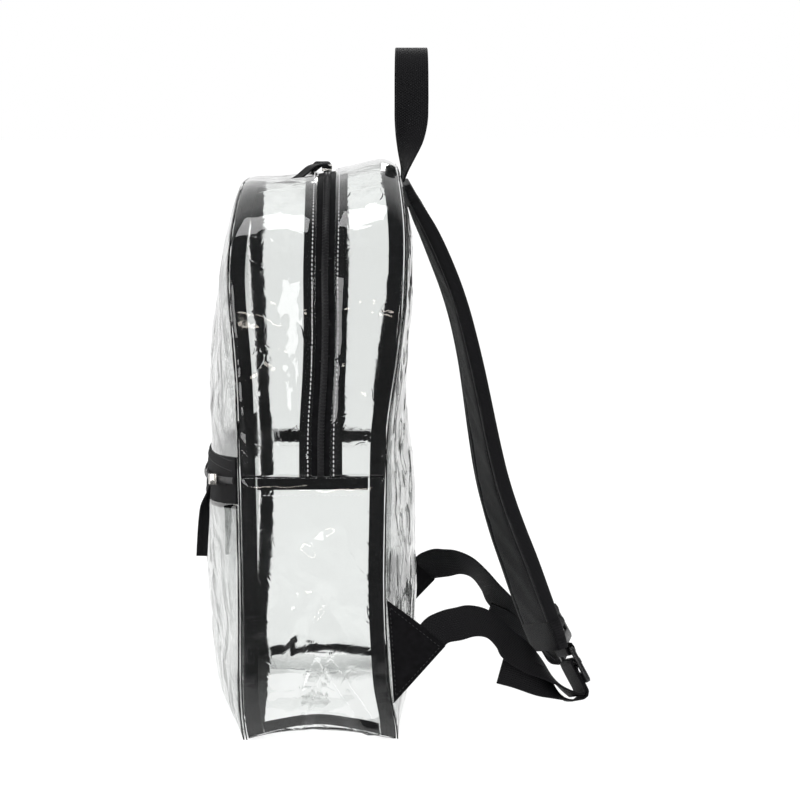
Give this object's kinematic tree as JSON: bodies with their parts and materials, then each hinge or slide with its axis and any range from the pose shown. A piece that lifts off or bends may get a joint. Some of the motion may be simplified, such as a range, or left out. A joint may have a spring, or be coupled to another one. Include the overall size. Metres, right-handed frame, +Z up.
{
  "type": "backpack",
  "caption": "Clear backpack with black taped seams, an arched top zip, a zipped front pocket, a haul handle and padded shoulder straps.",
  "frame": {"origin": "middle of the flat bottom, on the ground, half way between the front and the back seam", "axes": "+Z up, +Y towards the back panel and the shoulder straps, +X to the wearer's right"},
  "size_m": [0.3062, 0.3028, 0.5167],
  "materials": {
    "clear_pvc": "clear, glossy, soft PVC sheet",
    "seam_tape": "woven black binding tape",
    "zip_tape": "woven black zip tape",
    "coil_nylon": "black nylon coil",
    "slider_metal": "bright plated metal",
    "ribbon": "black ribbed ribbon",
    "webbing": "black woven webbing",
    "nylon": "black woven nylon",
    "pad_nylon": "black woven nylon over foam",
    "lock_plastic": "black moulded plastic"
  },
  "bodies": {
    "root": {"front_panel": "clear_pvc", "back_panel": "clear_pvc", "bottom_panel": "clear_pvc", "side_panel_right": "clear_pvc", "side_panel_left": "clear_pvc", "gusset_front": "clear_pvc", "gusset_back": "clear_pvc", "pocket_panel": "clear_pvc", "binding_front": "seam_tape", "binding_back": "seam_tape", "side_binding_right": "seam_tape", "side_binding_left": "seam_tape", "bottom_binding_right": "seam_tape", "bottom_binding_left": "seam_tape", "zip_tape_front": "zip_tape", "zip_tape_back": "zip_tape", "zip_coil": "coil_nylon", "pocket_coil": "coil_nylon", "slider_right": "slider_metal", "slider_left": "slider_metal", "pocket_slider": "slider_metal", "slider_pull_right": "ribbon", "slider_pull_left": "ribbon", "pocket_pull": "ribbon", "haul_handle": "webbing", "webbing_right": "webbing", "webbing_left": "webbing", "lock_loop_right": "webbing", "lock_loop_left": "webbing", "pocket_band": "nylon", "side_tab_right": "nylon", "side_tab_left": "nylon", "shoulder_strap_right": "pad_nylon", "shoulder_strap_left": "pad_nylon", "ladder_lock_right": "lock_plastic", "ladder_lock_left": "lock_plastic"}
  },
  "joints": []
}
